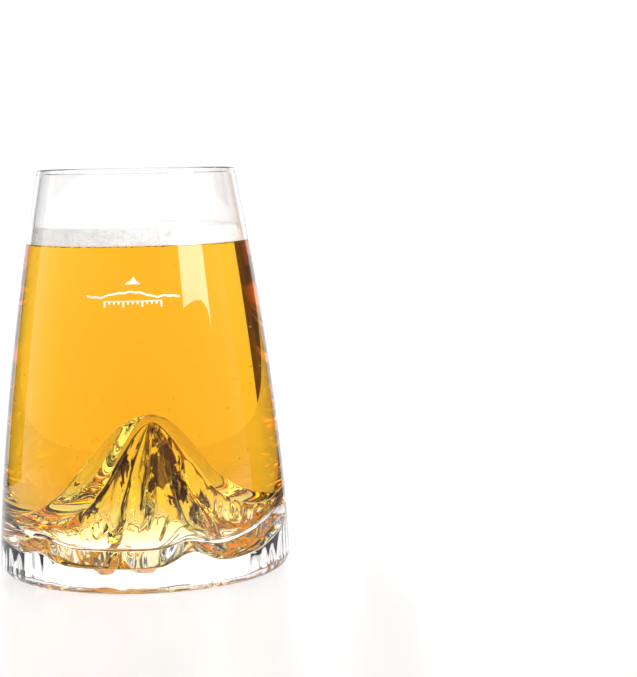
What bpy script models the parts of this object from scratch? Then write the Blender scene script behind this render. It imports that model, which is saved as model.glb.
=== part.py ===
"""Half-litre beer glass with a mountain pressed up through its base, poured with beer.

The glass is one turned wall whose bottom carries a relief: a steep summit with ridges
that run down to the foot. Underneath, the same mountain is hollow and open to the table.
Beer fills the bowl around the mountain, a head of foam lies on the beer, and a small
white enamel mark is fired onto the front of the wall.

The origin is the centre of the foot, +Z is up, and the mark faces -Y.
"""

from math import atan2, cos, degrees, exp, hypot, pi, radians, sin, tanh

import bmesh
import bpy

# ---- outside of the glass (metres) ----
GLASS_HEIGHT = 0.135
RIM_RADIUS = 0.0331
BELLY_RADIUS = 0.0490
TAPER_CURVE = 1.49          # 1 is a straight cone, more keeps the lower wall upright
HEEL_HEIGHT = 0.0040        # rounding between the foot and the wall
HEEL_WIDTH = 0.0040
FOOT_RADIUS = BELLY_RADIUS - HEEL_WIDTH     # outer edge of the flat ring that it stands on
FOOT_RING = 0.0025          # width of that ring

# ---- wall and bowl ----
RIM_WALL = 0.0016
BASE_WALL = 0.0024
BOWL_DEPTH = 0.0175         # height of the rounded bottom of the bowl
BOWL_CORNER = 0.0130        # from the widest line of the wall in to the valley
VALLEY_RADIUS = BELLY_RADIUS - BOWL_CORNER  # where the bowl turns up into the mountain
VALLEY_HEIGHT = 0.0125      # lowest line of the beer

# ---- mountain, seen from the beer ----
SUMMIT_HEIGHT = 0.0517
SUMMIT_SHIFT = 0.0020       # the summit stands off the axis, along +X
SUMMIT_ROUND = 0.0024
SLOPE_SHARES = (0.45, 0.55)     # of the height: gentle cone, steep spire
CONE_CURVE = 1.3
SPIRE_WIDTH = 0.42              # share of the valley's radius
SPIRE_CURVE = 2.3

# ---- hollow under the mountain ----
HOLLOW_RADIUS = FOOT_RADIUS - FOOT_RING
BASE_GLASS = 0.0045         # glass under the valley
HOLLOW_STEP = VALLEY_HEIGHT - BASE_GLASS    # upright inner face of the foot ring
SUMMIT_GLASS = 0.0028       # glass left between the two summits
SLOPE_GLASS = 0.0022        # least glass left between the two slopes, measured upright
HOLLOW_ROUND = 0.0012
HOLLOW_SHARES = (0.35, 0.65)
HOLLOW_CONE_CURVE = 2.2
HOLLOW_SPIRE_WIDTH = 0.335      # share of the hollow's radius
HOLLOW_SPIRE_CURVE = 2.2

# ---- faces of the mountain: bearing in degrees, how far out the face lies ----
FACETS = ((-124, 0.85), (-72, 0.80), (-4, 0.95), (72, 0.85), (140, 0.90))
FACET_EDGE = 12             # higher makes the ridges between the faces sharper
HOLLOW_FACETS = ((-158, 0.80), (-108, 0.92), (-60, 1.00), (-4, 0.90), (72, 0.85), (140, 0.86))
HOLLOW_FACET_EDGE = 40

# ---- spurs that run on to the wall: bearing, lift of the valley, lift of the hollow, width ----
SPURS = (
    (188, 0.0040, 0.0040, 24),
    (2, 0.0090, 0.0080, 30),
    (-70, 0.0025, 0.0045, 9),
    (-140, 0.0015, 0.0030, 9),
)

# ---- ribs in the hollow: height, bearings of both sides at the top, and at the foot ----
RIBS = (
    (0.0096, (-112, -34), (-68, -40)),
    (0.0026, (-134, -126), (-118, -104)),
    (0.0094, (176, 214), (178, 206)),
    (0.0088, (2, 60), (8, 58)),
    (0.0084, (78, 140), (80, 138)),
)
RIB_EDGE = 5                # degrees over which a rib's side falls
RIB_TURN = (0.12, 0.52)     # shares of the slope between which the sides swing round
RIB_RISE = 0.20             # share of the slope where the ribs reach full height
RIB_FADE = (0.52, 0.92)     # shares of the slope where they sink back into it
GULLY_DEPTH = 0.0090        # between the ribs

# ---- what was poured ----
HEADSPACE = 0.0246          # from the rim down to the beer
BEER_LEVEL = GLASS_HEIGHT - HEADSPACE
FOAM_DEPTH = 0.0060
FOAM_CREST = 0.0006         # how far the foam climbs the wall above its middle
FOAM_CREST_WIDTH = 0.0076
LIQUID_GAP = 0.0003         # between the liquid, the foam and the glass

# ---- enamel mark on the wall ----
MARK_TURN = -3.0            # degrees about the axis, from the front
MARK_DROP = 0.0146          # from the beer's level down to the middle of the ridge line
MARK_HEIGHT = BEER_LEVEL - MARK_DROP
MARK_WIDTH = 0.0300
MARK_LINE = 0.0006
MARK_THICKNESS = 0.0003
MARK_GAP = 0.0003
SUMMIT_ICON_WIDTH = 0.0048
SUMMIT_ICON_HEIGHT = 0.0024
SUMMIT_ICON_RISE = 0.0028   # foot of the small summit above the ridge line's middle
SUMMIT_ICON = ((-0.50, 0.06), (-0.28, 0.42), (-0.16, 0.34), (0.06, 1.0), (0.24, 0.45), (0.50, 0.06))
RIDGE_REACH = 0.0015        # half the height of the ridge line
RIDGE_PEAK = (0.46, 0.30)   # where its peak stands and how wide it is, as shares of the mark
SCALE_WIDTH = 0.0184
SCALE_DROP = 0.0024         # rule below the ridge line's middle
SCALE_TICKS = 13
TICK_LENGTH = 0.0020
SHORT_TICK_LENGTH = 0.0011
LONG_TICK = 4               # every fourth tick is long
TICK_WIDTH = 0.0005

# ---- mesh ----
SEGMENTS = 60
RIDGE_STEPS = 35
WALL_RINGS = 16
HEEL_RINGS = 5
RIM_RINGS = 5
INNER_RINGS = 9
BOWL_RINGS = 8
SLOPE_RINGS = 15
RING_CROWDING = 0.8         # under 1 sets the rings of the slope closer towards the foot


def outer_radius(height):
    """Outer radius of the wall at a height above the foot."""
    share = (height - HEEL_HEIGHT) / (GLASS_HEIGHT - HEEL_HEIGHT)
    share = min(max(share, 0.0), 1.0)
    return BELLY_RADIUS - (BELLY_RADIUS - RIM_RADIUS) * share ** TAPER_CURVE


def inner_radius(height):
    """Inner radius of the wall, which thins from the base to the rim."""
    share = min(max(height / GLASS_HEIGHT, 0.0), 1.0)
    return outer_radius(height) - (BASE_WALL + (RIM_WALL - BASE_WALL) * share)


def steps(count, first=0.0, last=1.0):
    """Evenly spaced numbers, both ends included."""
    return [first + (last - first) * i / (count - 1) for i in range(count)]


def facet_pull(facets, azimuth, edge):
    """Over 1 where a face cuts the slope short, under 1 on a ridge between two faces."""
    total = 0.0
    for bearing, reach in facets:
        facing = max(cos(azimuth - radians(bearing)), 0.0) / reach
        total += facing ** edge
    return total ** (1 / edge)


def spread_share(share, azimuth, facets, edge):
    """Share of the way down the slope, drawn out along ridges and in on the faces."""
    pull = facet_pull(facets, azimuth, edge) - 1
    return share * (1 + pull * (1 - share ** 2))


def rounded_share(share, rounding):
    """The share with its point at the summit rounded off."""
    blunt = hypot(share, rounding) - rounding
    return blunt / (hypot(1.0, rounding) - rounding)


def turned_away(azimuth, bearing):
    """Degrees from a bearing to an azimuth, from -180 to 180."""
    return (degrees(azimuth) - bearing + 180) % 360 - 180


def smooth(value):
    """A soft step from 0 to 1."""
    value = min(max(value, 0.0), 1.0)
    return value * value * (3 - 2 * value)


def spur_lift(azimuth, column):
    """Extra height along the spurs: column 1 is the valley, 2 the hollow."""
    total = 0.0
    for spur in SPURS:
        total += spur[column] * exp(-(turned_away(azimuth, spur[0]) / spur[3]) ** 2)
    return total


def valley_height(azimuth):
    """Height of the valley round the mountain."""
    return VALLEY_HEIGHT + spur_lift(azimuth, 1)


def upper_height(share, azimuth):
    """Height of the mountain as the beer sees it, from the summit down to the valley."""
    s = spread_share(share, azimuth, FACETS, FACET_EDGE)
    s = rounded_share(s, SUMMIT_ROUND / VALLEY_RADIUS)
    cone = max(1 - s, 0.0) ** CONE_CURVE
    spire = exp(-(s / SPIRE_WIDTH) ** SPIRE_CURVE)
    slope = SLOPE_SHARES[0] * cone + SLOPE_SHARES[1] * spire
    valley = valley_height(azimuth)
    return valley + (SUMMIT_HEIGHT - valley) * slope


def lower_height(share, azimuth):
    """Height of the hollow under the mountain, from its top out to the foot ring."""
    s = spread_share(share, azimuth, HOLLOW_FACETS, HOLLOW_FACET_EDGE)
    s = rounded_share(s, HOLLOW_ROUND / HOLLOW_RADIUS)
    cone = max(1 - s, 0.0) ** HOLLOW_CONE_CURVE
    spire = exp(-(s / HOLLOW_SPIRE_WIDTH) ** HOLLOW_SPIRE_CURVE)
    slope = HOLLOW_SHARES[0] * cone + HOLLOW_SHARES[1] * spire
    foot = HOLLOW_STEP + spur_lift(azimuth, 2)
    height = foot + (SUMMIT_HEIGHT - SUMMIT_GLASS - foot) * slope + rib_relief(share, azimuth)
    above = upper_height(min(share * HOLLOW_RADIUS / VALLEY_RADIUS, 1.0), azimuth)
    return min(height, above - SLOPE_GLASS)


def rib_relief(share, azimuth):
    """Height of the ribs over the slope, less the depth of the gullies between them."""
    down = (share - RIB_TURN[0]) / (RIB_TURN[1] - RIB_TURN[0])
    down = min(max(down, 0.0), 1.0)
    total = -GULLY_DEPTH
    for height, top, foot in RIBS:
        start = top[0] + (foot[0] - top[0]) * down
        end = top[1] + (foot[1] - top[1]) * down
        away = abs(turned_away(azimuth, (start + end) / 2))
        total += height * (0.5 + 0.5 * tanh(((end - start) / 2 - away) / RIB_EDGE))
    fade = (RIB_FADE[1] - share) / (RIB_FADE[1] - RIB_FADE[0])
    return total * smooth(share / RIB_RISE) * smooth(fade)


def heel_profile():
    """Rounded edge from the flat foot ring up to the wall."""
    points = []
    for turn in steps(HEEL_RINGS, 0.0, pi / 2):
        radius = FOOT_RADIUS + (BELLY_RADIUS - FOOT_RADIUS) * sin(turn)
        points.append((radius, HEEL_HEIGHT * (1 - cos(turn))))
    return points


def rim_profile():
    """Fire-polished rim: a half round over the thickness of the wall."""
    bead = RIM_WALL / 2
    centre = RIM_RADIUS - bead
    points = []
    for turn in steps(RIM_RINGS, 0.0, pi):
        points.append((centre + bead * cos(turn), GLASS_HEIGHT - bead + bead * sin(turn)))
    return points


def bowl_profile(top):
    """Inside of the glass from a height down to the valley around the mountain."""
    bowl_top = VALLEY_HEIGHT + BOWL_DEPTH
    points = [(inner_radius(z), z) for z in steps(INNER_RINGS, top, bowl_top)]
    reach = inner_radius(bowl_top) - VALLEY_RADIUS
    for turn in steps(BOWL_RINGS, 0.0, pi / 2)[1:]:
        radius = VALLEY_RADIUS + reach * cos(turn)
        points.append((radius, bowl_top - BOWL_DEPTH * sin(turn)))
    return points


def slope_profile(radius, height, inward):
    """Flat rings that a slope is later raised from, in to the axis or out from it."""
    shares = [i / SLOPE_RINGS for i in range(SLOPE_RINGS)]
    points = [(radius * share ** RING_CROWDING, height) for share in shares]
    return list(reversed(points)) if inward else points


def spin_profile(name, profile):
    """Turn a profile that starts and ends on the axis into one closed body."""
    mesh = bpy.data.meshes.new(name)
    work = bmesh.new()
    verts = [work.verts.new((radius, 0, height)) for radius, height in profile]
    edges = [work.edges.new(pair) for pair in zip(verts, verts[1:])]
    bmesh.ops.spin(work, geom=verts + edges, cent=(0, 0, 0), axis=(0, 0, 1),
                   angle=2 * pi, steps=SEGMENTS, use_merge=True)
    bmesh.ops.remove_doubles(work, verts=work.verts, dist=1e-6)
    bmesh.ops.dissolve_degenerate(work, dist=1e-7, edges=work.edges)
    bmesh.ops.recalc_face_normals(work, faces=work.faces)
    work.to_mesh(mesh)
    work.free()
    body = bpy.data.objects.new(name, mesh)
    bpy.context.scene.collection.objects.link(body)
    return body


def lift_bowl(body):
    """Lift the rounded bottom of the bowl where a spur runs on to the wall."""
    top = VALLEY_HEIGHT + BOWL_DEPTH
    for vert in body.data.vertices:
        x, y, z = vert.co
        if VALLEY_HEIGHT + 1e-7 < z < top and hypot(x, y) < inner_radius(z) + 1e-6:
            depth = (top - z) / BOWL_DEPTH
            vert.co.z = top - depth * (top - valley_height(atan2(y, x)))


def raise_slope(body, radius, base, height):
    """Lift the flat rings at one height into the mountain, around the shifted summit."""
    for vert in body.data.vertices:
        x, y, z = vert.co
        distance = hypot(x, y)
        if abs(z - base) > 1e-7 or distance > radius + 1e-6:
            continue
        share = distance / radius
        vert.co = (x + SUMMIT_SHIFT * (1 - share), y, height(share, atan2(y, x)))


def shrink(body, distance):
    """Draw a body's surface in along its normals by a clearance."""
    moved = [vert.co - vert.normal * distance for vert in body.data.vertices]
    for vert, place in zip(body.data.vertices, moved):
        vert.co = place


def finish(body, colour, roughness, transmission=0.0, ior=1.45, alpha=1.0):
    """Smooth shading and a material of its own."""
    body.data.shade_smooth()
    body.data.set_sharp_from_angle(angle=radians(50))
    material = bpy.data.materials.new(body.name)
    material.use_nodes = True
    shader = material.node_tree.nodes["Principled BSDF"]
    shader.inputs["Base Color"].default_value = (*colour, 1)
    shader.inputs["Roughness"].default_value = roughness
    shader.inputs["Metallic"].default_value = 0.0
    shader.inputs["Transmission Weight"].default_value = transmission
    shader.inputs["IOR"].default_value = ior
    shader.inputs["Alpha"].default_value = alpha
    body.data.materials.append(material)
    return body


def make_glass():
    """The whole glass: hollow, foot, heel, wall, rim, bowl and mountain in one body."""
    profile = slope_profile(HOLLOW_RADIUS, HOLLOW_STEP, inward=False)
    profile.append((HOLLOW_RADIUS, HOLLOW_STEP))
    profile.append((HOLLOW_RADIUS, 0.0))
    profile += heel_profile()
    wall_top = GLASS_HEIGHT - RIM_WALL
    profile += [(outer_radius(z), z) for z in steps(WALL_RINGS, HEEL_HEIGHT, wall_top)[1:]]
    profile += rim_profile()
    profile += bowl_profile(wall_top)
    profile += slope_profile(VALLEY_RADIUS, VALLEY_HEIGHT, inward=True)
    glass = spin_profile("glass", profile)
    lift_bowl(glass)
    raise_slope(glass, HOLLOW_RADIUS, HOLLOW_STEP, lower_height)
    raise_slope(glass, VALLEY_RADIUS, VALLEY_HEIGHT, upper_height)
    return finish(glass, (0.95, 0.97, 0.98), 0.02, transmission=1.0, ior=1.5, alpha=0.35)


def make_beer():
    """Beer up to its level: the inside of the glass, drawn in by the liquid gap."""
    profile = [(0.0, BEER_LEVEL), (inner_radius(BEER_LEVEL) / 2, BEER_LEVEL)]
    profile += bowl_profile(BEER_LEVEL)
    profile += slope_profile(VALLEY_RADIUS, VALLEY_HEIGHT, inward=True)
    beer = spin_profile("beer", profile)
    lift_bowl(beer)
    raise_slope(beer, VALLEY_RADIUS, VALLEY_HEIGHT, upper_height)
    shrink(beer, LIQUID_GAP)
    return finish(beer, (0.95, 0.50, 0.04), 0.02, transmission=1.0, ior=1.34, alpha=0.6)


def make_foam():
    """Head of foam on the beer, a little higher where it climbs the wall."""
    bottom = BEER_LEVEL
    top = bottom + FOAM_DEPTH
    edge = inner_radius(top) - LIQUID_GAP
    middle = (bottom + top) / 2
    profile = [
        (0.0, bottom),
        (inner_radius(bottom) - LIQUID_GAP, bottom),
        (inner_radius(middle) - LIQUID_GAP, middle),
        (edge, top),
        (edge - FOAM_CREST_WIDTH / 4, top - FOAM_CREST / 2),
        (edge - FOAM_CREST_WIDTH, top - FOAM_CREST),
        (0.0, top - FOAM_CREST),
    ]
    foam = spin_profile("foam_head", profile)
    return finish(foam, (0.93, 0.91, 0.87), 0.7)


def wall_point(along, height, lift):
    """A point on the front of the wall, by arc length, height and lift off the surface."""
    azimuth = radians(-90 + MARK_TURN) + along / outer_radius(MARK_HEIGHT)
    radius = outer_radius(height) + lift
    return (radius * cos(azimuth), radius * sin(azimuth), height)


def lay_on_wall(name, columns):
    """Closed strip bent round the wall, from columns of (along, low, high)."""
    mesh = bpy.data.meshes.new(name)
    work = bmesh.new()
    rows = []
    for along, low, high in columns:
        row = []
        for height, lift in ((low, 0), (high, 0), (high, MARK_THICKNESS), (low, MARK_THICKNESS)):
            row.append(work.verts.new(wall_point(along, height, MARK_GAP + lift)))
        rows.append(row)
    for row, after in zip(rows, rows[1:]):
        for i in range(4):
            work.faces.new((row[i], row[i - 3], after[i - 3], after[i]))
    work.faces.new(rows[0])
    work.faces.new(reversed(rows[-1]))
    bmesh.ops.recalc_face_normals(work, faces=work.faces)
    work.to_mesh(mesh)
    work.free()
    mark = bpy.data.objects.new(name, mesh)
    bpy.context.scene.collection.objects.link(mark)
    return finish(mark, (0.95, 0.93, 0.86), 0.45)


def ridge_line(share):
    """Height share of a jagged skyline across the mark, from -1 to 1."""
    main = 1 - abs(share - RIDGE_PEAK[0]) / RIDGE_PEAK[1]
    jag = 0.30 * abs((share * 7.0) % 2 - 1) + 0.16 * abs((share * 17.0) % 2 - 1)
    return -1 + 1.55 * max(main, 0.0) * 0.75 + jag


def make_mark():
    """Enamel mark: a small summit, a skyline and a rule with ticks."""
    base = MARK_HEIGHT + SUMMIT_ICON_RISE
    columns = []
    for along, high in SUMMIT_ICON:
        top = base + high * SUMMIT_ICON_HEIGHT
        columns.append((along * SUMMIT_ICON_WIDTH, base, top))
    lay_on_wall("print_summit", columns)

    columns = []
    for share in steps(RIDGE_STEPS):
        middle = MARK_HEIGHT + RIDGE_REACH * ridge_line(share)
        columns.append(((share - 0.5) * MARK_WIDTH, middle - MARK_LINE / 2, middle + MARK_LINE / 2))
    lay_on_wall("print_ridge", columns)

    rule_top = MARK_HEIGHT - SCALE_DROP
    rule_low = rule_top - MARK_LINE / 2
    side = TICK_WIDTH / 10
    columns = []
    for tick, share in enumerate(steps(SCALE_TICKS)):
        left = (share - 0.5) * (SCALE_WIDTH - TICK_WIDTH) - TICK_WIDTH / 2
        right = left + TICK_WIDTH
        length = TICK_LENGTH if tick % LONG_TICK == 0 else SHORT_TICK_LENGTH
        if tick > 0:
            columns.append((left - side, rule_low, rule_top))
        columns.append((left, rule_top - length, rule_top))
        columns.append((right, rule_top - length, rule_top))
        if tick < SCALE_TICKS - 1:
            columns.append((right + side, rule_low, rule_top))
    lay_on_wall("print_scale", columns)


def main():
    for leftover in list(bpy.data.objects):
        bpy.data.objects.remove(leftover)
    make_glass()
    make_beer()
    make_foam()
    make_mark()


main()
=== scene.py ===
from math import cos, pi, radians, sin
from random import Random

import bmesh
import bpy
import numpy as np
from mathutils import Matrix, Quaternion, Vector, noise


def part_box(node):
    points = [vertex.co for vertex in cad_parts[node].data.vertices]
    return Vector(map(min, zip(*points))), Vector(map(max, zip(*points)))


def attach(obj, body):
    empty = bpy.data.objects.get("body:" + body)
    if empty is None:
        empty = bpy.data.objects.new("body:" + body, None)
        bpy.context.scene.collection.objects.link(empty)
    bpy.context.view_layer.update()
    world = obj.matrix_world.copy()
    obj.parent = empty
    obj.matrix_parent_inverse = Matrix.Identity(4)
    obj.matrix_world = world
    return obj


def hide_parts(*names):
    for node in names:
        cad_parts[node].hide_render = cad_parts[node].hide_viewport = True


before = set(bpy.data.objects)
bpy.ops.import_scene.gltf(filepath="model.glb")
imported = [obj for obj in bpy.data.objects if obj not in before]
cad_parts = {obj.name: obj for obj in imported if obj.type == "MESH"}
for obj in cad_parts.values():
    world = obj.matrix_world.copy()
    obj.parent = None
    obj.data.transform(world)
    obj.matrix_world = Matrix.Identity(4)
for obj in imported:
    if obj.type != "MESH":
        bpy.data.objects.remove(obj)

bl_info = {
    "name": "Mountain beer glass",
    "version": (1, 0, 0),
    "blender": (4, 5, 0),
    "location": "3D View > Sidebar > Beer Glass",
    "description": "Fine glass, beer, foam, bubbles, enamel mark and studio for a mountain beer glass",
    "category": "Object",
}

MM = 0.001
BODY = "root"
FOOT_EDGE = 0.8 * MM        # rounding inside the foot ring
BEER_GAP = 0.05 * MM        # between the beer and the glass
FOAM_GAP = 0.08 * MM        # between the foam and the glass
EDGE_BUBBLES = 900          # under the foam, against the wall

# Light level of the room by bearing in degrees: 0 is straight behind the glass, + is right.
ROOM_LIGHT = 1.10
ROOM_BANDS = (
    (-180, 0.32), (-100, 0.34), (-78, 0.60), (-62, 0.95), (-26, 1.0),
    (45, 1.0), (60, 0.90), (78, 0.55), (100, 0.34), (180, 0.32),
)
# Share of that light by height: the sine of the elevation, from the horizon up.
ROOM_HEIGHTS = ((0.0, 1.0), (0.24, 1.0), (0.30, 0.05), (0.72, 0.05), (0.82, 0.62), (1.0, 0.62))
TABLE_REACH = 3.0           # from the glass to the table's front and sides
TABLE_BACK = 0.19

# Cards out of the camera's sight: both feet on the table's plan, and the heights of both edges.
FLAG_LEFT = (((-0.688, 0.982), (-1.078, 0.526)), (-0.26, 0.80))
WARM_RIGHT = (((0.473, 0.369), (0.571, 0.185)), (-0.10, 0.35))
NEAR_RIGHT = (((0.082, 0.060), (0.090, -0.025)), (0.012, 0.20))

# The tall softbox: where it stands, where it faces, and its outline on its own plane.
SOFTBOX_PLACE = (0.80, -0.62, 0.66)
SOFTBOX_AIM = (-0.80, 0.62, -0.30)
SOFTBOX_RADIANCE = 8.0
SOFTBOX_NEAR, SOFTBOX_FAR, SOFTBOX_TOP = -0.22, 0.32, 0.42
SOFTBOX_SILL = (-0.435, -0.405, -0.385, -0.375, -0.37)      # its lower edge, from far to near
SOFTBOX_STEPS = (SOFTBOX_FAR, 0.27, 0.16, 0.0, SOFTBOX_NEAR)

TOP_LIGHT_PLACE = (0.10, -0.60, 1.15)
TOP_LIGHT_AIM = (-0.10, 0.60, -1.05)
TOP_LIGHT_SIZE = (0.6, 0.6)
TOP_LIGHT_RADIANCE = 5.0

CAMERA_PLACE = (0, -0.645, 0.1382)
CAMERA_LENS = 101.3         # mm, on a sensor 36 mm wide
CAMERA_PITCH = 5.489        # degrees down, to the right, and about its own axis
CAMERA_YAW = 5.363
CAMERA_ROLL = 1.04
BOUNCES = 32                # light crosses many surfaces of glass and beer

# Painted shade in the hollow: dark patches standing in for the dark room reflected in its faces; where
# each is, and its radii.
PAINTED_SHADE_PATCHES = (
    ((0.0060, -0.0080, 0.0370), (0.0036, 0.0110, 0.0080)),
    ((0.0018, -0.0080, 0.0315), (0.0030, 0.0110, 0.0055)),
    ((0.0092, -0.0080, 0.0275), (0.0026, 0.0110, 0.0060)),
    ((-0.0058, -0.0030, 0.0375), (0.0030, 0.0090, 0.0070)),
    ((0.0035, -0.0060, 0.0465), (0.0012, 0.0080, 0.0026)),
    ((0.0145, -0.0100, 0.0225), (0.0014, 0.0120, 0.0100)),
    ((-0.0140, -0.0120, 0.0225), (0.0012, 0.0120, 0.0080)),
)


# ---------------------------------------------------------------- settings


class GlassSettings(bpy.types.PropertyGroup):
    """Sizes and shape of the glass itself"""

    segments: bpy.props.IntProperty(
        name="Segments", description="Steps round the axis", default=256, min=48, max=720)
    taper: bpy.props.FloatProperty(
        name="Taper curve", description="1 is a straight cone", default=1.49, min=1, max=3)
    heel: bpy.props.FloatProperty(
        name="Heel height", description="Rounding between foot and wall",
        default=0.0040, unit="LENGTH", subtype="DISTANCE")
    rim_wall: bpy.props.FloatProperty(
        name="Wall at the rim", description="Thickness of the rim",
        default=0.0016, unit="LENGTH", subtype="DISTANCE")
    base_wall: bpy.props.FloatProperty(
        name="Wall at the base", description="Thickness where the bowl begins",
        default=0.0024, unit="LENGTH", subtype="DISTANCE")
    bowl_depth: bpy.props.FloatProperty(
        name="Bowl depth", description="Height of the bowl's rounded bottom",
        default=0.0175, unit="LENGTH", subtype="DISTANCE")
    valley_radius: bpy.props.FloatProperty(
        name="Valley radius", description="Where the bowl turns up into the mountain",
        default=0.0360, unit="LENGTH", subtype="DISTANCE")
    valley_height: bpy.props.FloatProperty(
        name="Valley height", description="Lowest line of the beer",
        default=0.0125, unit="LENGTH", subtype="DISTANCE")
    summit: bpy.props.FloatProperty(
        name="Summit height", description="Top of the mountain in the beer",
        default=0.0517, unit="LENGTH", subtype="DISTANCE")
    summit_shift: bpy.props.FloatProperty(
        name="Summit shift", description="Distance of the summit from the axis",
        default=0.0020, unit="LENGTH", subtype="DISTANCE")
    summit_glass: bpy.props.FloatProperty(
        name="Glass over the hollow", description="Between the two summits",
        default=0.0028, unit="LENGTH", subtype="DISTANCE")
    hollow_step: bpy.props.FloatProperty(
        name="Foot ring depth", description="Upright inner face of the foot ring",
        default=0.0080, unit="LENGTH", subtype="DISTANCE")
    fold_depth: bpy.props.FloatProperty(
        name="Fold depth", description="Depth of the rock folds in the hollow",
        default=0.0022, unit="LENGTH", subtype="DISTANCE")


class PourSettings(bpy.types.PropertyGroup):
    """The beer, its foam and its bubbles"""

    absorb: bpy.props.FloatVectorProperty(
        name="Absorption", description="Light taken per metre in red, green and blue",
        size=3, default=(0.3, 9.8, 58.0), min=0, max=500)
    foam_colour: bpy.props.FloatVectorProperty(
        name="Foam colour", description="Colour of the foam", size=3, subtype="COLOR",
        default=(0.95, 0.93, 0.90), min=0, max=1)
    bubble_count: bpy.props.IntProperty(
        name="Bubbles", description="Free bubbles in the beer", default=170, min=0, max=2000)


class MarkSettings(bpy.types.PropertyGroup):
    """The enamel mark"""

    colour: bpy.props.FloatVectorProperty(
        name="Enamel colour", description="Colour of the printed mark", size=3,
        subtype="COLOR", default=(0.93, 0.91, 0.82), min=0, max=1)
    film: bpy.props.FloatProperty(
        name="Enamel thickness", description="Thickness of the fired print",
        default=0.00006, unit="LENGTH", subtype="DISTANCE")


# ---------------------------------------------------------------- shape of the glass


class Form:
    """Every profile of the glass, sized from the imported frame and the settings."""

    # Faces of the pyramid: the bearing of each in degrees and how far out it lies.
    facets = ((-124, 0.85), (-72, 0.80), (-4, 0.95), (72, 0.85), (140, 0.90))
    # Ridges that run on to the wall: bearing, lift of the beer side and of the hollow, width.
    spurs = (
        (188, 4.0 * MM, 4.0 * MM, 24),
        (2, 9.0 * MM, 8.0 * MM, 30),
        (-70, 2.5 * MM, 4.5 * MM, 9),
        (-140, 1.5 * MM, 3.0 * MM, 9),
    )
    # The hollow's own faces, steeper on the left below the summit.
    hollow_facets = ((-158, 0.80), (-108, 0.92), (-60, 1.00), (-4, 0.90), (72, 0.85), (140, 0.86))
    # Ribs with steep sides that stand in the hollow: height, then the bearings in degrees
    # of both sides near the summit and near the foot.
    ribs = (
        (9.6 * MM, (-112, -34), (-68, -40)),
        (2.6 * MM, (-134, -126), (-118, -104)),
        (9.4 * MM, (176, 214), (178, 206)),
        (8.8 * MM, (2, 60), (8, 58)),
        (8.4 * MM, (78, 140), (80, 138)),
    )
    # How soft their sides are, in degrees, and how deep the gullies between them are.
    rib_edge = 5
    gully = 9.0 * MM
    # Least glass between the two slopes, measured upright.
    slope_glass = 2.2 * MM
    # Slopes: how sharp the edges between faces are, the rounding of the summit, the share and
    # curve of the gentle cone, and the share, width and curve of the steep spire on it.
    beer_slope = (12, 2.4 * MM, (0.45, 1.3), (0.55, 0.42, 2.3))
    hollow_slope = (40, 0.5 * MM, (0.35, 2.2), (0.65, 0.335, 2.2))

    def __init__(self, settings):
        self.s = settings
        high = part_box("glass")[1]
        self.height = high[2]
        self.belly = high[0]
        self.rim = self.reach("glass", self.height - 1 * MM, self.height)[1]
        self.hollow, self.foot = self.reach("glass", -0.1 * MM, 0.1 * MM)
        self.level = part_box("foam_head")[0][2]
        self.foam_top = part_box("foam_head")[1][2]

    @staticmethod
    def reach(node, low, high):
        """Smallest and largest radius of a node's corners between two heights."""
        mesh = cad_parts[node].data
        places = np.array([vert.co[:] for vert in mesh.vertices])
        inside = places[(places[:, 2] >= low) & (places[:, 2] <= high)]
        radii = np.hypot(inside[:, 0], inside[:, 1])
        return float(radii.min()), float(radii.max())

    def outer(self, z):
        share = np.clip((z - self.s.heel) / (self.height - self.s.heel), 0, 1)
        return self.belly - (self.belly - self.rim) * share ** self.s.taper

    def inner(self, z):
        share = np.clip(z / self.height, 0, 1)
        return self.outer(z) - (self.s.base_wall + (self.s.rim_wall - self.s.base_wall) * share)

    @staticmethod
    def facet_pull(facets, azimuth, sharpness):
        """Over 1 where a face cuts the slope short, under 1 on a ridge."""
        total = np.zeros_like(azimuth)
        for bearing, reach in facets:
            facing = np.clip(np.cos(azimuth - radians(bearing)), 0, 1) / reach
            total += facing ** sharpness
        return total ** (1 / sharpness)

    def spread(self, share, azimuth, facets, sharpness):
        pull = self.facet_pull(facets, azimuth, sharpness) - 1
        return share * (1 + pull * (1 - share ** 2))

    def lift(self, azimuth, column):
        """Extra height along the spurs: column 1 is the beer side, 2 the hollow."""
        total = np.zeros_like(azimuth)
        for spur in self.spurs:
            away = (azimuth - radians(spur[0]) + pi) % (2 * pi) - pi
            total += spur[column] * np.exp(-(away / radians(spur[3])) ** 2)
        return total

    def valley(self, azimuth):
        return self.s.valley_height + self.lift(azimuth, 1)

    @staticmethod
    def rounded(share, rounding):
        """The share with its point at the summit blunted."""
        blunt = np.hypot(share, rounding) - rounding
        return blunt / (np.hypot(1.0, rounding) - rounding)

    def slope(self, share, azimuth, facets, radius, shape):
        """Share of the height: 1 at the summit, down to 0 at the foot of the slope."""
        sharpness, rounding, cone, spire = shape
        s = self.rounded(self.spread(share, azimuth, facets, sharpness), rounding / radius)
        gentle = cone[0] * np.clip(1 - s, 0, 1) ** cone[1]
        return gentle + spire[0] * np.exp(-(s / spire[1]) ** spire[2])

    def upper(self, share, azimuth):
        """Height of the mountain in the beer."""
        slope = self.slope(share, azimuth, self.facets, self.s.valley_radius, self.beer_slope)
        valley = self.valley(azimuth)
        return valley + (self.s.summit - valley) * slope

    def lower(self, share, azimuth):
        """Height of the hollow under the mountain, folds included."""
        slope = self.slope(share, azimuth, self.hollow_facets, self.hollow, self.hollow_slope)
        top = self.s.summit - self.s.summit_glass
        foot = self.s.hollow_step + self.lift(azimuth, 2)
        rock = self.ribbing(share, azimuth) + self.folds(share, azimuth)
        above = self.upper(np.minimum(share * self.hollow / self.s.valley_radius, 1), azimuth)
        return np.minimum(foot + (top - foot) * slope + rock, above - self.slope_glass)

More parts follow.
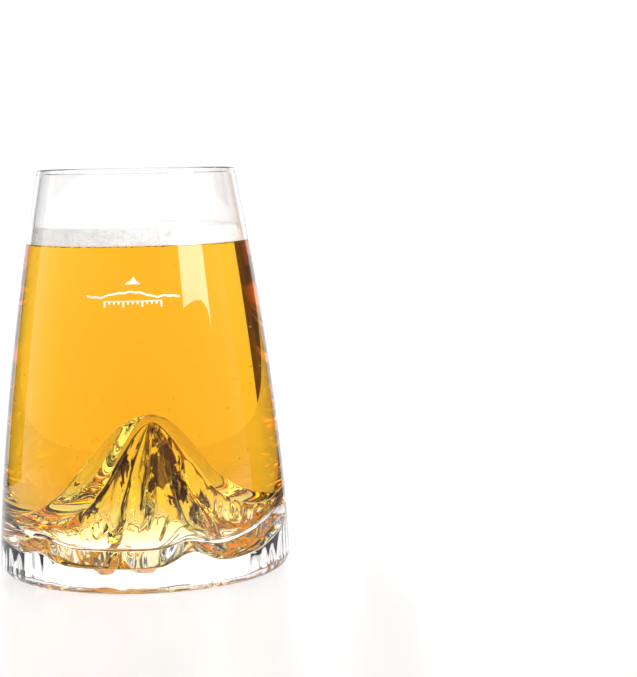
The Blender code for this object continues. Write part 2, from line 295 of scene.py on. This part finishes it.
    def ribbing(self, share, azimuth):
        """Steep-sided ribs and the gullies between them, deepest in the middle of the slope."""
        east, north = np.cos(azimuth), np.sin(azimuth)
        sway = 9 * sample(east, north, share * 9.0 + 20.0)
        sway = sway + 5 * sample(east * 3, north * 3, share * 24.0 + 30.0)
        down = np.clip((share - 0.12) / 0.40, 0, 1)
        total = -self.gully + np.zeros_like(share)
        for height, top, bottom in self.ribs:
            start = top[0] + (bottom[0] - top[0]) * down
            end = top[1] + (bottom[1] - top[1]) * down
            middle = (start + end) / 2
            away = (np.degrees(azimuth) - middle + sway + 180) % 360 - 180
            inside = ((end - start) / 2 - np.abs(away)) / self.rib_edge
            total += height * (0.5 + 0.5 * np.tanh(inside))
        rise = np.clip(share / 0.20, 0, 1)
        fall = np.clip((0.92 - share) / 0.40, 0, 1)
        return total * rise * rise * (3 - 2 * rise) * fall * fall * (3 - 2 * fall)

    def folds(self, share, azimuth):
        """Rock folds that run down the slopes, in two sizes, deepest half way down."""
        east = np.cos(azimuth)
        north = np.sin(azimuth)
        bend = 0.35 * sample(east * 1.3, north * 1.3, share * 3.0)
        turn = azimuth + bend
        broad = ridged(sample(np.cos(turn) * 2.4, np.sin(turn) * 2.4, share * 2.0 + 4.0))
        fine = ridged(sample(np.cos(turn) * 6.0, np.sin(turn) * 6.0, share * 5.0 + 9.0))
        near_summit = np.clip(share * 4.0, 0, 1)
        near_foot = np.clip((1 - share) * 6.0, 0, 1)
        depth = self.s.fold_depth * near_summit * near_foot
        return depth * (0.75 * (broad - 0.55) + 0.35 * (fine - 0.55))


def sample(x, y, z):
    """Smooth noise at many places, from -1 to 1."""
    flat = np.array([noise.noise(Vector(p)) for p in zip(x.ravel(), y.ravel(), z.ravel())])
    return flat.reshape(x.shape)


def ridged(value):
    """Sharp crests where smooth noise crosses zero."""
    return 1 - 2 * np.sqrt(value * value + 0.0025)


def turned(radius, z, azimuth):
    """A ring of points at one radius and height."""
    return np.stack([radius * np.cos(azimuth), radius * np.sin(azimuth), z + 0 * azimuth], -1)


def relief(form, radius, shares, azimuth, height):
    """Rings of a slope that closes on the shifted summit."""
    share, turn = np.meshgrid(shares, azimuth, indexing="ij")
    x = form.s.summit_shift * (1 - share) + radius * np.cos(turn) * share
    y = radius * np.sin(turn) * share
    return list(np.stack([x, y, height(share, turn)], -1))


def azimuths(form):
    return np.linspace(0, 2 * pi, form.s.segments, endpoint=False)


def hollow_rings(form, azimuth):
    """The hollow, from its top down to the foot ring."""
    shares = np.linspace(0, 1, 150)[1:]
    rings = [np.array([[form.s.summit_shift, 0, form.s.summit - form.s.summit_glass]])]
    rings += relief(form, form.hollow, shares, azimuth, form.lower)
    return rings + cliff_rings(form, azimuth)


def cliff_rings(form, azimuth):
    """The upright inner face of the foot ring, fluted where it is tall."""
    edge = FOOT_EDGE
    top = form.s.hollow_step + form.lift(azimuth, 2)
    tall = np.clip((top - form.s.hollow_step) / (2 * MM), 0, 1)
    flutes = ridged(sample(np.cos(azimuth) * 9, np.sin(azimuth) * 9, 0 * azimuth + 2.0))
    depth = (0.15 + 0.70 * tall) * MM * (0.5 + 0.5 * flutes)
    rings = []
    for rise in np.linspace(1, 0, 20)[1:-1]:
        radius = form.hollow - depth * sin(pi * rise) ** 0.7
        rings.append(turned(radius, edge + (top - edge) * rise, azimuth))
    return rings


def foot_rings(form, azimuth):
    """The flat ring that the glass stands on, and the heel up to the wall."""
    edge = FOOT_EDGE
    rings = []
    for turn in np.linspace(0, pi / 2, 6):
        radius = form.hollow + edge * (1 - cos(turn))
        rings.append(turned(radius, edge * (1 - sin(turn)), azimuth))
    heel = form.s.heel
    for turn in np.linspace(0, pi / 2, 16):
        radius = form.foot + (form.belly - form.foot) * sin(turn)
        rings.append(turned(radius, heel * (1 - cos(turn)), azimuth))
    return rings


def wall_rings(form, azimuth):
    """The outside of the wall, the rim, and the dry inside down to the beer's level."""
    bead = form.s.rim_wall / 2
    top = form.height - bead
    rings = [turned(form.outer(z), z, azimuth) for z in np.linspace(form.s.heel, top, 64)[1:-1]]
    centre = form.rim - bead
    for turn in np.linspace(0, pi, 15):
        rings.append(turned(centre + bead * cos(turn), top + bead * sin(turn), azimuth))
    dry = np.linspace(top - bead, form.level, 14)
    return rings + [turned(form.inner(z), z, azimuth) for z in dry]


def bowl_rings(form, azimuth):
    """The wetted inside, from the beer's level down to the valley and up to the summit."""
    top = form.s.valley_height + form.s.bowl_depth
    rings = [turned(form.inner(z), z, azimuth) for z in np.linspace(form.level, top, 46)]
    reach = form.inner(top) - form.s.valley_radius
    for turn in np.linspace(0, pi / 2, 34)[1:-1]:
        radius = form.s.valley_radius + reach * cos(turn)
        rings.append(turned(radius, top - (top - form.valley(azimuth)) * sin(turn), azimuth))
    shares = np.linspace(1, 0, 84)[:-1]
    rings += relief(form, form.s.valley_radius, shares, azimuth, form.upper)
    rings.append(np.array([[form.s.summit_shift, 0, form.s.summit]]))
    return rings


def loft(name, parts):
    """One closed body from lists of rings. Each list gets the next material slot."""
    rings = [ring for part in parts for ring in part]
    slots = [i for i, part in enumerate(parts) for ring in part]
    starts = np.cumsum([0] + [len(ring) for ring in rings])
    faces = []
    face_slots = []
    for k in range(len(rings) - 1):
        a, b = starts[k], starts[k + 1]
        here, after = len(rings[k]), len(rings[k + 1])
        count = max(here, after)
        i = np.arange(count)
        j = (i + 1) % count
        if here == 1:
            block = np.stack([a + 0 * i, b + i, b + j], -1)
        elif after == 1:
            block = np.stack([a + j, a + i, b + 0 * i], -1)
        else:
            block = np.stack([a + j, a + i, b + i, b + j], -1)
        faces += block.tolist()
        face_slots += [slots[k + 1]] * count
    mesh = bpy.data.meshes.new(name)
    mesh.from_pydata(np.concatenate(rings).tolist(), [], faces)
    mesh.polygons.foreach_set("material_index", face_slots)
    return add_piece(name, mesh)


def add_piece(name, mesh):
    """Puts a mesh in the scene, facing out and shaded smooth, riding on the frame."""
    work = bmesh.new()
    work.from_mesh(mesh)
    bmesh.ops.recalc_face_normals(work, faces=work.faces)
    work.to_mesh(mesh)
    work.free()
    mesh.shade_smooth()
    piece = bpy.data.objects.new(name, mesh)
    bpy.context.scene.collection.objects.link(piece)
    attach(piece, BODY)
    return piece


def flat_sheet(name, corners, material):
    """A flat sheet for the studio."""
    mesh = bpy.data.meshes.new(name)
    mesh.from_pydata(corners, [], [range(len(corners))])
    sheet = bpy.data.objects.new(name, mesh)
    bpy.context.scene.collection.objects.link(sheet)
    sheet.data.materials.append(material)
    return sheet


# ---------------------------------------------------------------- materials


def new_material(name):
    """A material, its node tree and its main shader."""
    material = bpy.data.materials.new(name)
    material.use_nodes = True
    tree = material.node_tree
    return material, tree, tree.nodes["Principled BSDF"]


def node(tree, kind, **values):
    """A node with its inputs, or its own settings, set by name."""
    made = tree.nodes.new(kind)
    for key, value in values.items():
        label = key.replace("_", " ")
        if label in made.inputs:
            made.inputs[label].default_value = value
        else:
            setattr(made, key, value)
    return made


def object_space(tree):
    return tree.nodes.new("ShaderNodeTexCoord").outputs["Object"]


def clear_glass(name, ior, waviness):
    """Clear glass whose surface waves very slightly, as worked glass does."""
    material, tree, shader = new_material(name)
    shader.inputs["Base Color"].default_value = (1, 1, 1, 1)
    shader.inputs["Roughness"].default_value = 0.0
    shader.inputs["IOR"].default_value = ior
    shader.inputs["Transmission Weight"].default_value = 1.0
    waves = node(tree, "ShaderNodeTexNoise", Scale=55.0, Detail=1.0, Roughness=0.4)
    bump = node(tree, "ShaderNodeBump", Strength=waviness, Distance=0.0004)
    tree.links.new(object_space(tree), waves.inputs["Vector"])
    tree.links.new(waves.outputs["Fac"], bump.inputs["Height"])
    tree.links.new(bump.outputs["Normal"], shader.inputs["Normal"])
    return material


def inside_any(tree, place, ellipsoids):
    """1 inside any of the ellipsoids, 0 outside them all."""
    mask = None
    for centre, radii in ellipsoids:
        patch = node(tree, "ShaderNodeMapping", vector_type="TEXTURE", Location=centre, Scale=radii)
        length = node(tree, "ShaderNodeVectorMath", operation="LENGTH")
        edge = map_range(tree, length.outputs["Value"], 0.9, 1.05, 1, 0)
        tree.links.new(place, patch.inputs["Vector"])
        tree.links.new(patch.outputs["Vector"], length.inputs[0])
        if mask is None:
            mask = edge
            continue
        most = node(tree, "ShaderNodeMath", operation="MAXIMUM")
        tree.links.new(mask, most.inputs[0])
        tree.links.new(edge, most.inputs[1])
        mask = most.outputs[0]
    return mask


def map_range(tree, value, from_low, from_high, to_low, to_high, **extra):
    """A value carried from one range to another."""
    scale = node(tree, "ShaderNodeMapRange", **extra)
    labels = ("From Min", "From Max", "To Min", "To Max")
    for label, number in zip(labels, (from_low, from_high, to_low, to_high)):
        scale.inputs[label].default_value = number
    tree.links.new(value, scale.inputs["Value"])
    return scale.outputs["Result"]


def bands(tree, value, stops):
    """Grey levels along a value from 0 to 1."""
    ramp = node(tree, "ShaderNodeValToRGB")
    tree.links.new(value, ramp.inputs["Fac"])
    marks = ramp.color_ramp.elements
    while len(marks) < len(stops):
        marks.new(0.5)
    for mark, (position, level) in zip(marks, stops):
        mark.position = position
        mark.color = (level, level, level, 1)
    return ramp.outputs["Color"]


def painted_shade_glass():
    """Clear glass with painted shade: dark brown, less clear patches standing in for the dark room
    reflected in the hollow, drawn down into ragged streaks.
    """
    material = clear_glass("hollow_glass_painted_shade", 1.5, 0.12)
    tree = material.node_tree
    shader = tree.nodes["Principled BSDF"]
    place = object_space(tree)
    stretch = node(tree, "ShaderNodeMapping", Scale=(420, 420, 90))
    rough = node(tree, "ShaderNodeTexNoise", Scale=1.0, Detail=3.0, Roughness=0.6)
    centre = node(tree, "ShaderNodeVectorMath", operation="SUBTRACT")
    centre.inputs[1].default_value = (0.5, 0.5, 0.5)
    reach = node(tree, "ShaderNodeVectorMath", operation="MULTIPLY_ADD")
    reach.inputs[1].default_value = (0.012, 0.012, 0.030)
    tree.links.new(place, stretch.inputs["Vector"])
    tree.links.new(stretch.outputs["Vector"], rough.inputs["Vector"])
    tree.links.new(rough.outputs["Color"], centre.inputs[0])
    tree.links.new(centre.outputs["Vector"], reach.inputs[0])
    tree.links.new(place, reach.inputs[2])
    mask = inside_any(tree, reach.outputs["Vector"], PAINTED_SHADE_PATCHES)
    # painted shade: inside the patches the glass turns dark brown and lets through only a quarter of
    # the light
    tint = node(tree, "ShaderNodeValToRGB")
    tint.color_ramp.elements[0].color = (1, 1, 1, 1)
    tint.color_ramp.elements[1].color = (0.05, 0.02, 0.006, 1)
    clear = map_range(tree, mask, 0, 1, 1.0, 0.25)
    tree.links.new(mask, tint.inputs["Fac"])
    tree.links.new(tint.outputs["Color"], shader.inputs["Base Color"])
    tree.links.new(clear, shader.inputs["Transmission Weight"])
    return material


def beer_liquid(absorb):
    """Golden beer: light is lost in its depth, not on its surface."""
    material, tree, shader = new_material("beer")
    shader.inputs["Base Color"].default_value = (1, 1, 1, 1)
    shader.inputs["Roughness"].default_value = 0.0
    shader.inputs["IOR"].default_value = 1.0
    shader.inputs["Transmission Weight"].default_value = 1.0
    most = max(absorb)
    depth = tree.nodes.new("ShaderNodeVolumeAbsorption")
    depth.inputs["Density"].default_value = most
    depth.inputs["Color"].default_value = (*[1 - a / most for a in absorb], 1)
    tree.links.new(depth.outputs["Volume"], tree.nodes["Material Output"].inputs["Volume"])
    return material


def beer_foam(colour):
    """Fine wet foam: packed bubbles of two sizes with thin grey walls, and painted light: a glow that
    brightens it though it is no lamp.
    """
    material, tree, shader = new_material("foam")
    place = object_space(tree)
    small = node(tree, "ShaderNodeTexVoronoi", Scale=1900.0)
    large = node(tree, "ShaderNodeTexVoronoi", Scale=620.0)
    tint = node(tree, "ShaderNodeValToRGB")
    tint.color_ramp.elements[0].color = (*[c * 0.98 for c in colour], 1)
    tint.color_ramp.elements[0].position = 0.45
    tint.color_ramp.elements[1].color = (*[c * 0.55 for c in colour], 1)
    tint.color_ramp.elements[1].position = 0.80
    add = node(tree, "ShaderNodeMath", operation="ADD")
    bump = node(tree, "ShaderNodeBump", Strength=0.6, Distance=0.0003, invert=True)
    for cells in (small, large):
        tree.links.new(place, cells.inputs["Vector"])
    tree.links.new(small.outputs["Distance"], add.inputs[0])
    tree.links.new(large.outputs["Distance"], add.inputs[1])
    tree.links.new(large.outputs["Distance"], tint.inputs["Fac"])
    tree.links.new(add.outputs[0], bump.inputs["Height"])
    tree.links.new(bump.outputs["Normal"], shader.inputs["Normal"])
    tree.links.new(tint.outputs["Color"], shader.inputs["Base Color"])
    shader.inputs["Roughness"].default_value = 0.55
    # painted light: the foam glows so that it reads bright white
    shader.inputs["Emission Color"].default_value = (1, 0.98, 0.96, 1)
    shader.inputs["Emission Strength"].default_value = 0.55
    shader.inputs["Subsurface Weight"].default_value = 0.6
    shader.inputs["Subsurface Radius"].default_value = (0.004, 0.0035, 0.003)
    shader.inputs["Subsurface Scale"].default_value = 1.0
    return material


def gas_bubble(name, colour):
    """Small gas bubbles: bright in the middle, dark at the edge."""
    material, _, shader = new_material(name)
    shader.inputs["Base Color"].default_value = (*colour, 1)
    shader.inputs["Roughness"].default_value = 0.02
    shader.inputs["IOR"].default_value = 1.33
    shader.inputs["Transmission Weight"].default_value = 1.0
    return material


def white_enamel(colour):
    """Fired enamel: matt, faintly grainy, a little uneven in thickness, with painted light: a faint
    glow that brightens the white.
    """
    material, tree, shader = new_material("white_enamel")
    place = object_space(tree)
    grain = node(tree, "ShaderNodeTexNoise", Scale=2600.0, Detail=3.0)
    patches = node(tree, "ShaderNodeTexNoise", Scale=320.0, Detail=2.0)
    tint = node(tree, "ShaderNodeValToRGB")
    tint.color_ramp.elements[0].color = (*[c * 0.86 for c in colour], 1)
    tint.color_ramp.elements[0].position = 0.30
    tint.color_ramp.elements[1].color = (*colour, 1)
    tint.color_ramp.elements[1].position = 0.62
    bump = node(tree, "ShaderNodeBump", Strength=0.25, Distance=0.00003)
    for texture in (grain, patches):
        tree.links.new(place, texture.inputs["Vector"])
    tree.links.new(patches.outputs["Fac"], tint.inputs["Fac"])
    tree.links.new(grain.outputs["Fac"], bump.inputs["Height"])
    tree.links.new(tint.outputs["Color"], shader.inputs["Base Color"])
    tree.links.new(bump.outputs["Normal"], shader.inputs["Normal"])
    shader.inputs["Roughness"].default_value = 0.42
    # painted light: the enamel glows a little so that the mark reads bright white
    shader.inputs["Emission Color"].default_value = (1, 0.99, 0.95, 1)
    shader.inputs["Emission Strength"].default_value = 0.25
    return material


def table_top():
    """Pale table with painted light: it glows though it is no lamp, fading with distance, and a
    painted pool of light makes it brightest under the beer glass.
    """
    material, tree, shader = new_material("table")
    place = object_space(tree)
    patches = node(tree, "ShaderNodeTexNoise", Scale=3.0, Detail=2.0)
    tint = node(tree, "ShaderNodeValToRGB")
    tint.color_ramp.elements[0].color = (0.12, 0.12, 0.12, 1)
    tint.color_ramp.elements[1].color = (0.14, 0.14, 0.14, 1)
    tree.links.new(place, patches.inputs["Vector"])
    tree.links.new(patches.outputs["Fac"], tint.inputs["Fac"])
    tree.links.new(tint.outputs["Color"], shader.inputs["Base Color"])
    shader.inputs["Roughness"].default_value = 0.30
    shader.inputs["Emission Color"].default_value = (1, 1, 1, 1)
    reach = node(tree, "ShaderNodeVectorMath", operation="LENGTH")
    tree.links.new(place, reach.inputs[0])
    away = reach.outputs["Value"]
    # painted light: the table glows, fading with distance from the glass
    glow = map_range(tree, away, 0.5, 2.2, 0.78, 0.22, interpolation_type="SMOOTHSTEP")
    # painted pool of light under the glass, seen through the hollow
    painted_light_pool = map_range(tree, away, 0.036, 0.046, 0.7, 0, interpolation_type="SMOOTHSTEP")
    total = node(tree, "ShaderNodeMath", operation="ADD")
    tree.links.new(glow, total.inputs[0])
    tree.links.new(painted_light_pool, total.inputs[1])
    tree.links.new(total.outputs[0], shader.inputs["Emission Strength"])
    return material


def matt_card(name, colour):
    """Matt card that shapes the light."""
    material, _, shader = new_material(name)
    shader.inputs["Base Color"].default_value = (*colour, 1)
    shader.inputs["Roughness"].default_value = 0.9
    return material


def lit_panel(radiance):
    """White diffuser lit from inside."""
    material, _, shader = new_material("lit_panel")
    shader.inputs["Base Color"].default_value = (0.8, 0.8, 0.8, 1)
    shader.inputs["Emission Color"].default_value = (1, 1, 1, 1)
    shader.inputs["Emission Strength"].default_value = radiance
    return material


# ---------------------------------------------------------------- operators


def shape_of(context):
    """The glass's profiles, from the settings in the panel."""
    return Form(context.scene.beer_glass)


class BEERGLASS_OT_glass(bpy.types.Operator):
    """Model the glass, with its wall, rim, bowl, mountain and hollow"""

    bl_idname = "beerglass.glass"
    bl_label = "Glass"

    def execute(self, context):
        form = shape_of(context)
        turn = azimuths(form)
        dry = foot_rings(form, turn) + wall_rings(form, turn)
        glass = loft("glass_fine", [hollow_rings(form, turn), dry, bowl_rings(form, turn)[1:]])
        # the hollow gets the glass with painted shade
        glass.data.materials.append(painted_shade_glass())
        glass.data.materials.append(clear_glass("clear_glass", 1.5, 0.12))
        glass.data.materials.append(clear_glass("clear_glass_wetted", 1.12, 0.12))
        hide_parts("glass")
        return {"FINISHED"}


class BEERGLASS_OT_beer(bpy.types.Operator):
    """Pour the beer into the bowl"""

    bl_idname = "beerglass.beer"
    bl_label = "Beer"

    def execute(self, context):
        pour = context.scene.beer_pour
        form = shape_of(context)
        turn = azimuths(form)
        gap = BEER_GAP
        rings = list(reversed(bowl_rings(form, turn)))
        for ring in rings:
            radius = np.maximum(np.hypot(ring[:, 0], ring[:, 1]), 1e-9)
            ring[:, :2] *= (np.maximum(radius - gap, 0) / radius)[:, None]
            ring[:, 2] += gap
        top = form.level - gap
        rings[-1][:, 2] = top
        rings.append(turned((form.inner(top) - gap) / 2, top, turn))
        rings.append(np.array([[0, 0, top]]))
        beer = loft("beer_fine", [rings])
        beer.data.materials.append(beer_liquid(pour.absorb))
        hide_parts("beer")
        return {"FINISHED"}


class BEERGLASS_OT_foam(bpy.types.Operator):
    """Lay the head of foam on the beer"""

    bl_idname = "beerglass.foam"
    bl_label = "Foam"

    def execute(self, context):
        pour = context.scene.beer_pour
        form = shape_of(context)
        turn = azimuths(form)
        bottom = form.level + 0.02 * MM
        top = form.foam_top
        surface = top - 0.75 * MM
        rings = [np.array([[0, 0, bottom]]), turned(form.inner(bottom) / 2, bottom, turn)]
        for z in np.linspace(bottom, top - 0.5 * MM, 12):
            lumps = sample(np.cos(turn) * 22, np.sin(turn) * 22, z / MM * 0.9 + 0 * turn)
            radius = form.inner(z) - FOAM_GAP - 0.12 * MM * (1 + lumps)
            rings.append(turned(radius, z, turn))
        for share in np.linspace(0.985, 0.04, 46):
            radius = form.inner(top) * share
            east, north = np.cos(turn) * share, np.sin(turn) * share
            lumps = sample(east * 30, north * 30, 0 * turn)
            swell = sample(east * 5, north * 5, 0 * turn + 3.0)
            crown = 0.45 * MM * share ** 8
            z = surface + crown + 0.12 * MM * lumps + 0.16 * MM * swell
            rings.append(turned(radius, 0, turn) + np.stack([0 * z, 0 * z, z], -1))
        rings.append(np.array([[0, 0, surface]]))
        foam = loft("foam_fine", [rings])
        foam.data.materials.append(beer_foam(pour.foam_colour))
        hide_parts("foam_head")
        return {"FINISHED"}


class BEERGLASS_OT_bubbles(bpy.types.Operator):
    """Scatter gas bubbles in the beer and along the foam's edge"""

    bl_idname = "beerglass.bubbles"
    bl_label = "Bubbles"

    def execute(self, context):
        pour = context.scene.beer_pour
        form = shape_of(context)
        chance = Random(7)
        work = bmesh.new()
        floor = form.s.valley_height + form.s.bowl_depth
        for _ in range(pour.bubble_count):
            z = chance.uniform(floor, form.level - 3 * MM)
            reach = (form.inner(z) - 1 * MM) * chance.uniform(0, 1) ** 0.5
            turn = chance.uniform(0, 2 * pi)
            self.bubble(work, reach, turn, z, chance.uniform(0.10, 0.30) * MM)
        self.gather(work, "bubbles", gas_bubble("gas_bubble", (1.0, 0.93, 0.75)))
        work = bmesh.new()
        for _ in range(EDGE_BUBBLES):
            size = chance.uniform(0.08, 0.22) * MM
            z = form.level - size - chance.uniform(0.02, 0.5) ** 2 * MM
            reach = form.inner(z) - 0.1 * MM - size
            self.bubble(work, reach, chance.uniform(0, 2 * pi), z, size)
        # painted shade: the bubbles under the foam are tinted dark brown, though gas has no colour,
        # making a dark ring at the beer's edge
        self.gather(work, "edge_bubbles", gas_bubble("edge_bubble", (0.30, 0.16, 0.06)))
        return {"FINISHED"}

    @staticmethod
    def gather(work, name, material):
        """Close a set of bubbles into one piece."""
        mesh = bpy.data.meshes.new(name)
        work.to_mesh(mesh)
        work.free()
        bubbles = add_piece(name, mesh)
        bubbles.data.materials.append(material)

    @staticmethod
    def bubble(work, reach, turn, z, size):
        """Add one bubble at a distance from the axis, a bearing and a height."""
        made = bmesh.ops.create_icosphere(work, subdivisions=1, radius=size)
        place = Vector((reach * cos(turn), reach * sin(turn), z))
        bmesh.ops.translate(work, verts=made["verts"], vec=place)


class BEERGLASS_OT_mark(bpy.types.Operator):
    """Fuse the enamel mark to the wall as a thin film"""

    bl_idname = "beerglass.mark"
    bl_label = "Enamel mark"

    def execute(self, context):
        mark = context.scene.beer_mark
        form = shape_of(context)
        enamel = white_enamel(mark.colour)
        for name in ("print_summit", "print_ridge", "print_scale"):
            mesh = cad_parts[name].data.copy()
            mesh.materials.clear()
            lifts = []
            for vert in mesh.vertices:
                x, y, z = vert.co
                lifts.append(np.hypot(x, y) - form.outer(z))
            lowest = min(lifts)
            depth = max(lifts) - lowest
            for vert, lift in zip(mesh.vertices, lifts):
                x, y, z = vert.co
                radius = form.outer(z) + 0.01 * MM + mark.film * (lift - lowest) / depth
                scale = radius / np.hypot(x, y)
                vert.co = (x * scale, y * scale, z)
            film = add_piece(name + "_film", mesh)
            film.data.materials.append(enamel)
            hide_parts(name)
        return {"FINISHED"}


class BEERGLASS_OT_stage(bpy.types.Operator):
    """Set the table, the cards, the room, the lamps and the camera"""

    bl_idname = "beerglass.stage"
    bl_label = "Studio"

    def execute(self, context):
        self.table()
        black = matt_card("black_card", (0.02, 0.02, 0.02))
        amber = matt_card("amber_card", (0.55, 0.24, 0.08))
        tan = matt_card("tan_card", (0.80, 0.40, 0.20))
        self.card("flag_left", black, *FLAG_LEFT)
        self.card("warm_right", amber, *WARM_RIGHT)
        self.card("near_right", tan, *NEAR_RIGHT)
        self.surroundings(context)
        self.softbox()
        self.top_light(context)
        self.camera(context)
        scene = context.scene
        scene.view_settings.view_transform = "Standard"
        scene.cycles.max_bounces = BOUNCES
        scene.cycles.transmission_bounces = BOUNCES
        scene.cycles.transparent_max_bounces = BOUNCES
        return {"FINISHED"}

    @staticmethod
    def table():
        reach, back, top = TABLE_REACH, TABLE_BACK, -0.05 * MM
        corners = [(-reach, -reach), (reach, -reach), (reach, back), (-reach, back)]
        table = flat_sheet("table", [(x, y, top) for x, y in corners], table_top())

    @staticmethod
    def card(name, material, feet, heights):
        """An upright card, out of the camera's sight but not the glass's."""
        low, high = heights
        corners = [(*foot, z) for foot, z in zip(feet + feet[::-1], (low, low, high, high))]
        card = flat_sheet(name, corners, material)
        card.visible_camera = False

    @staticmethod
    def surroundings(context):
        """A pale room: bright low down, dark above that, with a bright ceiling."""
        world = bpy.data.worlds.new("studio")
        context.scene.world = world
        world.use_nodes = True
        tree = world.node_tree
        background = tree.nodes["Background"]
        direction = tree.nodes.new("ShaderNodeTexCoord").outputs["Generated"]
        split = tree.nodes.new("ShaderNodeSeparateXYZ")
        bearing = node(tree, "ShaderNodeMath", operation="ARCTAN2")
        tree.links.new(direction, split.inputs[0])
        tree.links.new(split.outputs["X"], bearing.inputs[0])
        tree.links.new(split.outputs["Y"], bearing.inputs[1])
        share = map_range(tree, bearing.outputs[0], -pi, pi, 0, 1)
        around = [(0.5 + degrees / 360, level) for degrees, level in ROOM_BANDS]
        round_light = bands(tree, share, around)
        high_light = bands(tree, split.outputs["Z"], ROOM_HEIGHTS)
        strength = node(tree, "ShaderNodeMath", operation="MULTIPLY")
        tree.links.new(high_light, strength.inputs[0])
        strength.inputs[1].default_value = ROOM_LIGHT
        tree.links.new(round_light, background.inputs["Color"])
        tree.links.new(strength.outputs[0], background.inputs["Strength"])

    @staticmethod
    def softbox():
        """A tall window of light on the right, whose lower edge drops at its far side."""
        outline = [(SOFTBOX_NEAR, SOFTBOX_TOP), (SOFTBOX_FAR, SOFTBOX_TOP)]
        outline += list(zip(SOFTBOX_STEPS, SOFTBOX_SILL))
        corners = [(x, y, 0) for x, y in outline]
        box = flat_sheet("softbox", corners, lit_panel(SOFTBOX_RADIANCE))
        box.location = SOFTBOX_PLACE
        box.rotation_mode = "QUATERNION"
        box.rotation_quaternion = Vector(SOFTBOX_AIM).to_track_quat("-Z", "Y")
        box.visible_camera = False

    @staticmethod
    def top_light(context):
        """A broad soft light from above the front."""
        width, length = TOP_LIGHT_SIZE
        light = bpy.data.lights.new("top_light", "AREA")
        light.shape = "RECTANGLE"
        light.size = width
        light.size_y = length
        light.energy = TOP_LIGHT_RADIANCE * pi * width * length
        lamp = bpy.data.objects.new("top_light", light)
        lamp.location = TOP_LIGHT_PLACE
        lamp.rotation_mode = "QUATERNION"
        lamp.rotation_quaternion = Vector(TOP_LIGHT_AIM).to_track_quat("-Z", "Y")
        lamp.visible_camera = False
        context.scene.collection.objects.link(lamp)

    @staticmethod
    def camera(context):
        """A long lens just above the rim, turned slightly right and tilted down."""
        lens = bpy.data.cameras.new("camera")
        lens.lens = CAMERA_LENS
        lens.sensor_width = 36
        lens.clip_start = 0.01
        camera = bpy.data.objects.new("camera", lens)
        camera.location = CAMERA_PLACE
        pitch, yaw, roll = radians(CAMERA_PITCH), radians(CAMERA_YAW), radians(CAMERA_ROLL)
        ahead = Vector((sin(yaw) * cos(pitch), cos(yaw) * cos(pitch), -sin(pitch)))
        camera.rotation_mode = "QUATERNION"
        level = ahead.to_track_quat("-Z", "Y")
        camera.rotation_quaternion = level @ Quaternion((0, 0, 1), -roll)
        context.scene.collection.objects.link(camera)
        context.scene.camera = camera


class BEERGLASS_PT_panel(bpy.types.Panel):
    """Buttons for every step of the model"""

    bl_idname = "BEERGLASS_PT_panel"
    bl_label = "Mountain beer glass"
    bl_space_type = "VIEW_3D"
    bl_region_type = "UI"
    bl_category = "Beer Glass"

    def draw(self, context):
        for step in STEPS:
            self.layout.operator(step.bl_idname)


STEPS = (
    BEERGLASS_OT_stage,
    BEERGLASS_OT_glass,
    BEERGLASS_OT_beer,
    BEERGLASS_OT_foam,
    BEERGLASS_OT_bubbles,
    BEERGLASS_OT_mark,
)
GROUPS = (
    ("beer_glass", GlassSettings),
    ("beer_pour", PourSettings),
    ("beer_mark", MarkSettings),
)


def register():
    for name, group in GROUPS:
        bpy.utils.register_class(group)
        setattr(bpy.types.Scene, name, bpy.props.PointerProperty(type=group))
    for step in STEPS:
        bpy.utils.register_class(step)
    bpy.utils.register_class(BEERGLASS_PT_panel)


def unregister():
    bpy.utils.unregister_class(BEERGLASS_PT_panel)
    for step in reversed(STEPS):
        bpy.utils.unregister_class(step)
    for name, group in reversed(GROUPS):
        delattr(bpy.types.Scene, name)
        bpy.utils.unregister_class(group)


def main():
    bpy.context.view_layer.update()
    register()
    bpy.ops.beerglass.stage()
    bpy.ops.beerglass.glass()
    bpy.ops.beerglass.beer()
    bpy.ops.beerglass.foam()
    bpy.ops.beerglass.bubbles()
    bpy.ops.beerglass.mark()


if __name__ == "__main__":
    main()
